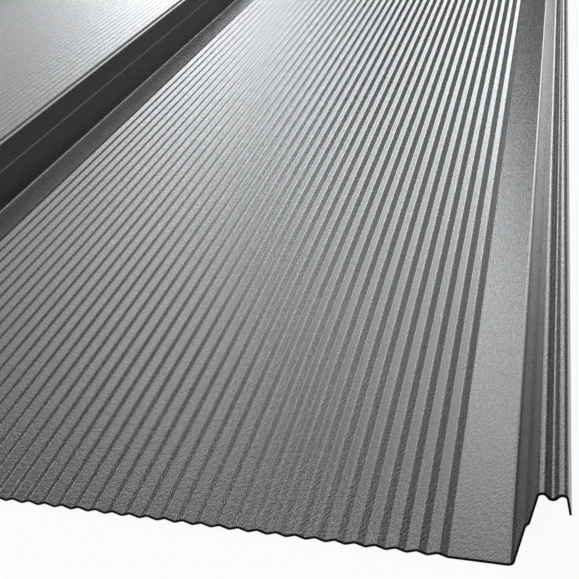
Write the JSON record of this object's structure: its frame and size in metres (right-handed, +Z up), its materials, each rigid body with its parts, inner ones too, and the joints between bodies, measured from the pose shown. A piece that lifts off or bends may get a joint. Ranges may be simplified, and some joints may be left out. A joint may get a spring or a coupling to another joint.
{
  "type": "corrugated metal sheet",
  "caption": "Roofing sheet rolled from coated steel, with wide finely corrugated pans between tall stepped ribs and turned-down side edges that lap over the next sheet.",
  "frame": {"origin": "middle of the sheet, on the floor that its pans rest on", "axes": "+Y along the ribs and the sheet's length, +X across the sheet, +Z up out of the weather side"},
  "size_m": [1.0168, 2, 0.049],
  "materials": {
    "coated_steel": "matt, fine-grained anthracite coating"
  },
  "bodies": {
    "root": {"sheet": "coated_steel"}
  },
  "joints": []
}
